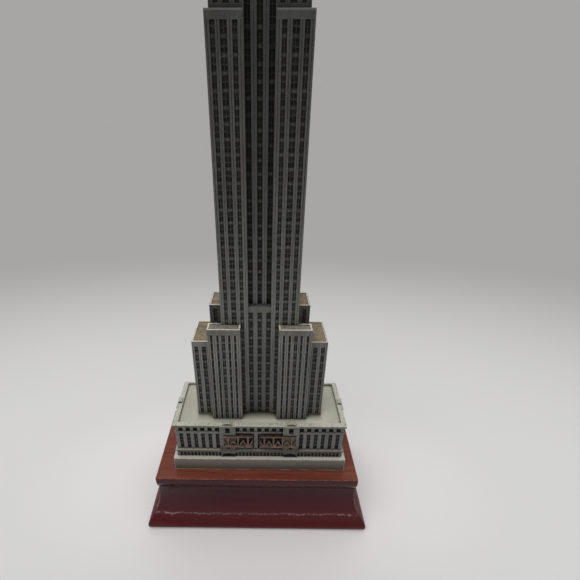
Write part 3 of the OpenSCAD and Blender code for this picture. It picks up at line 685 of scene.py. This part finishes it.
class Boxes:
    """A mesh of many boxes. materials are names in M, and a slot is a place in that list."""

    def __init__(self, name, materials):
        self.name, self.materials = name, materials
        self.points, self.faces, self.slots = [], [], []

    def box(self, low, high, slot):
        n = len(self.points)
        self.points += [Vector((x, y, z)) * MM for z in (low[2], high[2]) for y in (low[1], high[1])
                        for x in (low[0], high[0])]
        for face in ((0, 2, 3, 1), (4, 5, 7, 6), (0, 1, 5, 4), (2, 6, 7, 3), (0, 4, 6, 2), (1, 3, 7, 5)):
            self.faces.append([n + corner for corner in face])
            self.slots.append(slot)

    def build(self, slot_name, bevel=0.0):
        mesh = bpy.data.meshes.new(self.name)
        mesh.from_pydata([point[:] for point in self.points], [], self.faces)
        for name in self.materials:
            mesh.materials.append(M[name])
        mesh.polygons.foreach_set("material_index", self.slots)
        mesh.update()
        piece = add_piece(mesh)
        if bevel:
            modifier = piece.modifiers.new("bevel", "BEVEL")
            modifier.width = bevel * MM
            modifier.segments = 1
            modifier.limit_method = "ANGLE"


def piece_from(bm, name, material, smooth=False):
    """A piece from a bmesh, which it uses up."""
    bmesh.ops.recalc_face_normals(bm, faces=bm.faces)
    mesh = bpy.data.meshes.new(name)
    bm.to_mesh(mesh)
    bm.free()
    for polygon in mesh.polygons:
        polygon.use_smooth = smooth
    mesh.materials.append(M[material])
    add_piece(mesh)


# ---------- windows of the tower ----------

WINDOW_MATERIALS = ["pane_dark", "pane", "bar", "panel", "boss", "dot", "shade", "void"]
DARK, PANE, BAR, PANEL, BOSS, DOT, SHADE, VOID = range(len(WINDOW_MATERIALS))
TALL = {"pitch": 3.86}                  # the storeys of the shaft and the crown
BEADS = {**TALL, "depth": 0.0, "face": -0.35, "dim": True}
SOME_BEADS = {**BEADS, "dots": 0.6}


class Facade:
    """One face of a block. u runs along it from centre, d is the depth behind plane, z starts at foot."""

    def __init__(self, mesh, centre, normal, plane, foot=0.0):
        self.mesh, self.centre, self.normal, self.plane, self.foot = mesh, centre, normal, plane, foot

    def box(self, u0, u1, d0, d1, z0, z1, slot):
        axis = 0 if self.normal[0] else 1
        sign = self.normal[axis]
        a, b = self.plane - sign * d0, self.plane - sign * d1
        low, high = [0, 0, self.foot + z0], [0, 0, self.foot + z1]
        low[axis], high[axis] = min(a, b), max(a, b)
        low[1 - axis], high[1 - axis] = self.centre + u0, self.centre + u1
        self.mesh.box(low, high, slot)

    def bar(self, u, half, d0, d1, z0, z1, slot):
        """A box from u - half to u + half."""
        self.box(u - half, u + half, d0, d1, z0, z1, slot)

    def column(self, u, width, z0, z1, depth=0.5, pitch=3.72, lights=2, face=0.2, spandrel=1.2, dim=False,
               dots=1.0):
        """A strip of windows from the head z1 down to z0: two rows of panes and a spandrel a storey.

        The panes lie depth behind the plane, and the frames' fronts face behind it. lights is how many panes
        are side by side. dim is darker paint, painted shade for the columns in the recess, on the link and in
        the narrow slots, with beads on the share of the spandrels that dots says.
        """
        narrow = lights == 1
        left, right, half = u - width / 2, u + width / 2, width / 2
        panel, bar = PANEL, BAR
        if dim:
            panel, bar = (PANEL if narrow else SHADE), SHADE
        self.bar(u, half, depth - 0.05, depth, z0, z1, DARK if narrow or dim else PANE)
        z = z1
        while z > z0 + 0.3:
            foot = max(z - pitch + spandrel, z0)
            middle = foot + (z - foot) * rng.uniform(0.42, 0.54)
            if not narrow:
                blind = foot + (middle - foot) * rng.uniform(0.75, 1)
                self.bar(u, half, depth - 0.06, depth, foot, blind, DARK)
            for i in range(1, lights):
                mullion = left + width * i / lights + rng.uniform(-0.07, 0.07)
                self.bar(mullion, 0.1, face + 0.12, depth, foot, z, bar)
            thick = 0.07 if narrow else rng.uniform(0.12, 0.24)
            slant = rng.uniform(-0.12, 0.12)
            self.box(left, u, face + 0.1, depth, middle - thick + slant, middle + thick + slant, bar)
            self.box(u, right, face + 0.1, depth, middle - thick - slant, middle + thick - slant, bar)
            if z - pitch > z0 and foot > z0:
                self.bar(u, half, face + 0.08, depth, z - pitch, foot, panel)
                c = (z - pitch + foot) / 2 + rng.uniform(-0.08, 0.08)
                w = width * rng.uniform(0.2, 0.32)
                if dim and not narrow and rng.random() < dots:
                    self.bar(u, w, face - 0.06, depth, c - 0.4, c + 0.4, DOT)
                elif not dim:
                    self.bar(u, w, face - 0.06, depth, c - 0.33, c + 0.33, BOSS)
                    self.bar(u, half, face + 0.07, depth, c + 0.36, c + 0.5, PANE)
            z -= pitch


def both(pairs):
    """Columns as (offset, width), repeated on the other side of the centre unless they are on it."""
    return [(s * u, w) for u, w in pairs for s in ((1, -1) if u else (1,))]


def strips(name, faces):
    """One mesh of window strips; faces are (centre, normal, plane, columns, z0, z1, options)."""
    mesh = Boxes(name, WINDOW_MATERIALS)
    for centre, normal, plane, columns, z0, z1, options in faces:
        facade = Facade(mesh, centre, normal, plane)
        for u, w in columns:
            facade.column(u, w, z0, z1, **options)
    mesh.build("resin")


def shaft_windows():
    """Columns on all faces, with beads between the piers of the recess."""
    foot, head = DECK + 1, SHAFT - FASCIA
    faces = []
    for s in (-1, 1):
        front, side, back = face_of("shaft", "y", s), face_of("shaft", "x", s), TY + s * RECESS_BACK
        faces.append((TX, (0, s), front, both([(11.5, 1.3), (8.8, 1.8), (6.0, 1.3)]), foot, head, TALL))
        faces.append((TX, (0, s), back, both([(3.1, 1.58)]), LINK, SHAFT, SOME_BEADS))
        faces.append((TX, (0, s), back, [(0, 1.58)], LINK, SHAFT, BEADS))
        faces.append((TY, (s, 0), side, both([(3.1, 1.3)]), foot, head, TALL))
        faces.append((TY, (s, 0), side, [(0, 2.4)], foot, head, {**TALL, "lights": 3}))
    strips("shaft_windows", faces)


def inner_wing_windows(name, sx, sy):
    """Wide window columns between narrow slots."""
    head = WING - FASCIA
    faces = []
    for u, w in ((16.6, 0.8), (14.45, 0.75), (12.5, 1.3), (10.4, 0.8), (8.4, 0.75)):
        slot = w < 1
        options = {"pitch": 3.68, "dim": slot}
        if slot:
            options.update(lights=1, spandrel=rng.uniform(0.65, 0.85))
        faces.append((TX, (0, sy), face_of(name, "y", sy), [(sx * u, w)], DECK, head, options))
    faces.append((TY, (sx, 0), face_of(name, "x", sx), [(sy * 7.95, 0.8)], DECK, head,
                  {"lights": 1, "dim": True}))
    strips(f"{name}_windows", faces)


def outer_wing_windows(name, sx):
    """Columns of windows on all three free sides."""
    foot, head = DECK + 0.4, OUTER - FASCIA
    front, side = [(sx * 22.6, 1.35), (sx * 19.9, 1.6)], both([(0, 1.6), (2.4, 1.3), (4.9, 1.3)])
    faces = [(TX, (0, sy), face_of(name, "y", sy), front, foot, head, {}) for sy in (-1, 1)]
    faces.append((TY, (sx, 0), face_of(name, "x", sx), side, foot, head, {}))
    strips(f"{name}_windows", faces)


def upper_block_windows(name, sx):
    """A long slot at the front and the back, and columns of windows at the side."""
    foot, head = OUTER + 0.1, UPPER - 1.4
    slot = {"lights": 1, "pitch": 6, "spandrel": 0.2}
    faces = [(TX, (0, sy), face_of(name, "y", sy), [(sx * 15.3, 1.4)], foot, head, slot) for sy in (-1, 1)]
    faces.append((TY, (sx, 0), face_of(name, "x", sx), both([(0, 1.6), (2.8, 1.3)]), foot, head, {}))
    strips(f"{name}_windows", faces)


def link_windows(name, sy):
    """Three columns in darker paint, painted shade, that carry on those of the recess above."""
    columns = both([(0, 1.5), (3.1, 1.58)])
    strips(f"{name}_windows", [(TX, (0, sy), face_of(name, "y", sy), columns, DECK, LINK - FASCIA,
                                {"dim": True})])


def crown_windows():
    """The shaft's rhythm again, narrower, on both blocks of the crown."""
    foot, head = SHAFT + 1, CROWN1 - FASCIA
    faces = []
    for s in (-1, 1):
        front, side = face_of("crown_lower", "y", s), face_of("crown_lower", "x", s)
        back = TY + s * RECESS_BACK
        faces.append((TX, (0, s), front, both([(10.6, 1.2), (8, 1.7), (5.4, 1.2)]), foot, head, TALL))
        faces.append((TX, (0, s), back, both([(0, 1.58), (3.1, 1.58)]), SHAFT, CROWN1, SOME_BEADS))
        faces.append((TY, (s, 0), side, both([(0, 2.2), (2.8, 1.2)]), foot, head, TALL))
    strips("crown_lower_windows", faces)

    foot, head = CROWN1 + 1, CROWN2 - FASCIA
    columns = both([(0, 1.5), (3.1, 1.5), (5.8, 1.2), (8.3, 1.2)])
    faces = []
    for s in (-1, 1):
        front, side = face_of("crown_upper", "y", s), face_of("crown_upper", "x", s)
        faces.append((TX, (0, s), front, columns, foot, head, TALL))
        faces.append((TY, (s, 0), side, both([(0, 1.8), (2.6, 1.1)]), foot, head, TALL))
    strips("crown_upper_windows", faces)


def tower_windows():
    shaft_windows()
    for side, sx in (("left", -1), ("right", 1)):
        for end, sy in (("front", -1), ("rear", 1)):
            inner_wing_windows(f"{end}_wing_{side}", sx, sy)
        outer_wing_windows(f"outer_wing_{side}", sx)
        upper_block_windows(f"upper_block_{side}", sx)
    for end, sy in (("front", -1), ("rear", 1)):
        link_windows(f"link_{end}", sy)
    crown_windows()


# ---------- windows of the podium ----------

BAY = 2.82                  # from one bay of the long walls to the next
OVERHANG = 0.25             # how far the walls' string course stands out from their face
BACK = 0.7                  # how deep the podium's windows are
walls_low, walls_high = span_of("podium_walls")
PX, PY = middle_of("podium_walls").x, middle_of("podium_walls").y
HALF_WIDTH = (walls_high.x - walls_low.x) / 2 - OVERHANG
HALF_DEPTH = (walls_high.y - walls_low.y) / 2 - OVERHANG


def wall_bay(facade, u):
    """A tall window with its bars, and the attic window above it."""
    half, foot, head = 0.7, 0.2, 8.3
    facade.bar(u, half, BACK - 0.06, BACK, foot, head, DARK)
    facade.bar(u, 0.1, 0.4, BACK, foot, head, SHADE)
    for z in (2.4, 4.35, 6.3):
        z += rng.uniform(-0.25, 0.25)
        facade.bar(u, half, 0.34, BACK, z - 0.14, z + 0.14, PANEL)
    half, foot, head = 0.825, 9.7, 11.55
    facade.bar(u, half, BACK - 0.06, BACK, foot, head, DARK)
    # A dim sheet on the attic window's sill: painted shade.
    facade.bar(u, half, 0.03, BACK - 0.06, foot, foot + 0.05, SHADE)
    facade.bar(u, 0.09, 0.5, BACK, foot, head, SHADE)


def shop_door(facade, u, offset):
    """A dark doorway beside the bay's centre u, with a post, a transom and in some a panel."""
    half = 0.5
    centre = u + offset
    facade.bar(centre, half, BACK - 0.08, BACK, 0, 2.5, DARK)
    # A dark sheet on the doorway's floor: painted shade.
    facade.bar(centre, half, 0.15, BACK, 0, 0.06, DARK)
    post = centre + rng.uniform(-0.2, 0.2)
    facade.bar(post, 0.12, 0.4, BACK, 0, rng.uniform(0.5, 1.3), BAR)
    if rng.random() < 0.3:
        foot = rng.uniform(0, 1.2)
        facade.bar(centre, half, 0.3, BACK, foot, foot + rng.uniform(0.4, 1.2), SHADE)
    transom = rng.uniform(1.5, 2.1)
    facade.bar(centre, half, 0.45, BACK, transom, transom + 0.18, SHADE)


def pavilion_doors(facade, u):
    """The foot of a pavilion, painted as shade under its canopy: a dark back and floor, with three dark
    posts.
    """
    half, back = 2.45, 0.95
    facade.bar(u, half, 0.9, back, 0, 2.3, SHADE)
    facade.bar(u, half, -0.2, back, 0, 0.06, SHADE)
    for v in (-1.2, 0, 1.2):
        facade.bar(u + v, 0.12, 0.5, back, 0, 1.5, SHADE)


def pavilion_bay(facade, u):
    """The pavilion's window with its bars, and the opening under the arched head."""
    half, back, foot, head = 0.65, 0.45, 1, 8
    facade.bar(u, half, 0.4, back, foot, head, DARK)
    facade.bar(u, 0.08, 0.25, back, foot, head, BAR)
    # A dark sheet on the window's sill: painted shade.
    facade.bar(u, half, 0.03, 0.4, foot, foot + 0.06, DARK)
    for z in (2.4, 4.2, 6.0):
        facade.bar(u, half, 0.2, back, z - 0.12, z + 0.12, BAR)
    half, foot, head = 0.9, 9.7, 12.3
    # The attic opening is lined with near-black sheets and a dim band at its foot: painted shade.
    facade.bar(u, half, back, back + 0.05, foot, head, VOID)
    facade.bar(u, half, 0.03, back, foot, foot + 0.06, VOID)
    facade.bar(u, half, 0.35, back, foot, foot + 0.5, SHADE)


def podium_windows():
    windows = Boxes("podium_windows", WINDOW_MATERIALS)
    shops = Boxes("shopfront_doors", WINDOW_MATERIALS)
    pavilions = Boxes("pavilion_windows", WINDOW_MATERIALS)
    walls_foot, shops_foot = walls_low.z, span_of("shopfront")[0].z
    middle_bays = [i * BAY for i in range(-3, 4)]
    outer_bays = [s * (16.35 + i * BAY) for i in range(6) for s in (-1, 1)]
    end_bays = [s * (4.1 + i * 2.5) for i in range(3) for s in (-1, 1)]
    for normal in ((0, -1), (0, 1), (-1, 0), (1, 0)):
        s = normal[0] + normal[1]
        if normal[1]:
            face, centre, reach = PY + s * HALF_DEPTH, PX, HALF_WIDTH
            bays, towers = middle_bays + outer_bays, (-PAVILION, PAVILION)
        else:
            face, centre, reach = PX + s * HALF_WIDTH, PY, HALF_DEPTH
            bays, towers = end_bays, (0,)
        wall = Facade(windows, centre, normal, face, walls_foot)
        shop = Facade(shops, centre, normal, face + s * 0.3, shops_foot)
        pavilion = Facade(pavilions, centre, normal, face + s * 0.95, walls_foot)
        for u in bays:
            wall_bay(wall, u)
            for quarter in (-BAY / 4, BAY / 4):
                shop_door(shop, u, quarter)
        shaded = reach - 0.5
        # Dark strips at the back of the groove under the attic windows and of the gaps at the feet of the
        # walls and the shopfront: painted shade.
        wall.bar(0, shaded, 0.4, 0.45, 9.6, 9.9, DARK)
        wall.bar(0, shaded, 0.44, 0.5, 0.01, 0.35, DARK)
        shop.bar(0, shaded, 0.44, 0.5, 0.01, 0.35, DARK)
        for u in towers:
            pavilion_doors(shop, u)
            pavilion_bay(pavilion, u)
    for mesh in (windows, shops, pavilions):
        mesh.build("resin")


# ---------- paint, filler and roofing ----------

def frieze_shadows():
    """A dark maroon sheet behind the fretwork, painted shadow, and a brown stain where it crosses the
    pavilions.
    """
    maroon, stain = range(2)
    mesh = Boxes("frieze_ground", ["maroon", "stain"])
    face = face_of("frieze_left", "y", -1) + 0.6
    wall = walls_low.y
    left_pavilion = face_of("pavilion_front_left", "x", 1) - 0.1
    right_pavilion = face_of("pavilion_front_right", "x", -1) + 0.1
    for side in ("left", "right"):
        low, high = span_of(f"frieze_{side}")
        foot, head = low.z + 0.1, high.z - 0.1
        x0, x1 = max(low.x, left_pavilion), min(high.x, right_pavilion)
        mesh.box((x0, wall - 0.16, foot), (x1, wall - 0.02, head), maroon)
        for a, b in ((low.x, x0), (x1, high.x)):
            if b > a:
                mesh.box((a, face - 0.04, foot), (b, face + 0.02, head), stain)
    mesh.build("bronze")


def roofing_mesh(x0, x1, y0, y1, floor_z):
    """A rough sheet over a tray's floor, with a skirt down to it, closed below."""
    nx, ny = 24, 8
    bm = bmesh.new()
    grid = [[bm.verts.new(Vector((x0 + (x1 - x0) * i / nx, y0 + (y1 - y0) * j / ny,
                                  floor_z + rng.uniform(0.27, 0.44))) * MM)
             for j in range(ny + 1)] for i in range(nx + 1)]
    for i in range(nx):
        for j in range(ny):
            bm.faces.new([grid[i][j], grid[i + 1][j], grid[i + 1][j + 1], grid[i][j + 1]])
    outline = [edge for edge in bm.edges if edge.is_boundary]
    for part in bmesh.ops.extrude_edge_only(bm, edges=outline)["geom"]:
        if isinstance(part, bmesh.types.BMVert):
            part.co.z = (floor_z + 0.01) * MM
    bmesh.ops.contextual_create(bm, geom=[edge for edge in bm.edges if edge.is_boundary])
    return bm


def wing_roofs():
    """Uneven grey roofing in the trays of the four inner wings."""
    kerb, depth, gap = 0.6, 0.45, 0.05
    for side in ("left", "right"):
        for end in ("front", "rear"):
            low, high = span_of(f"{end}_wing_{side}")
            if end == "front":
                y0, y1 = low.y + kerb, shaft_low.y - gap
            else:
                y0, y1 = shaft_high.y + gap, high.y - kerb
            bm = roofing_mesh(low.x + kerb, high.x - kerb, y0, y1, high.z - depth)
            piece_from(bm, f"{end}_wing_{side}_roofing", "roof_grey", smooth=True)


def add_prism(bm, outline, y0, y1, turn, shift):
    """outline is [(x, z)] in mm, drawn out from y0 to y1, then turned about Z and shifted."""
    place = Matrix.Translation(Vector(shift)) @ Matrix.Rotation(turn, 4, "Z")
    front, back = [[bm.verts.new((place @ Vector((x, y, z))) * MM) for x, z in outline] for y in (y0, y1)]
    bm.faces.new(front)
    bm.faces.new(back[::-1])
    for i in range(len(outline)):
        j = (i + 1) % len(outline)
        bm.faces.new([front[i], back[i], back[j], front[j]])


def pavilion_arches():
    """A darker sheet on the field of each arched head, in front of the parapet: painted shade."""
    radius, half, steps = 3.02, 1.75, 12
    parapet_top = span_of("podium_parapet")[1].z
    crest = parapet_top + 0.75
    outline = [(1.8, parapet_top + 0.03), (-1.8, parapet_top + 0.03)]
    for i in range(steps, -1, -1):
        x = half * (1 - 2 * i / steps)
        z = crest - radius + math.sqrt(radius ** 2 - x ** 2)
        outline.append((x, max(z, parapet_top + 0.04)))
    bm = bmesh.new()
    for sx in (-1, 1):
        for turn in (0, math.pi):
            shift = (PX + sx * PAVILION, PY - HALF_DEPTH * math.cos(turn), 0)
            add_prism(bm, outline, -0.665, -0.6, turn, shift)
    piece_from(bm, "pavilion_tympana", "tympanum")


def bead(name, material, low, high, z, side, outs, heights):
    """An uneven bead of filler round the rectangle low..high, on the outside (side 1) or inside (-1)."""
    mesh = Boxes(name, [material])
    walls = [(0, low.x, high.x, low.y, -side), (0, low.x, high.x, high.y, side),
             (1, low.y, high.y, low.x, -side), (1, low.y, high.y, high.x, side)]
    for along, start, end, edge, sign in walls:
        while start < end:
            step = min(rng.uniform(1.5, 5), end - start)
            out, tall = sign * rng.uniform(*outs), rng.uniform(*heights)
            a, b = [start, start, z], [start + step, start + step, z + tall]
            a[1 - along], b[1 - along] = min(edge, edge + out), max(edge, edge + out)
            mesh.box(a, b, 0)
            start += step
    mesh.build("resin_pale", bevel=0.06)


def glue_line():
    """Glue squeezed out where the casting stands on the wood."""
    low, high = span_of("podium_slab")
    bead("slab_glue_line", "glue", low, high, low.z - 0.05, 1, (0.04, 0.22), (0.1, 0.24))


def deck_fillet():
    """Paint and filler caught in the corner between the deck and the parapet."""
    low, high = span_of("podium_roof")
    bead("deck_fillet", "pale", low, high, high.z - 0.05, -1, (0.1, 0.3), (0.2, 0.55))


dress_nodes()
tower_windows()
podium_windows()
glue_line()
deck_fillet()
wing_roofs()
frieze_shadows()
pavilion_arches()

make_camera()
make_world()
make_sun()
make_floor()
scene.view_settings.view_transform = "Standard"
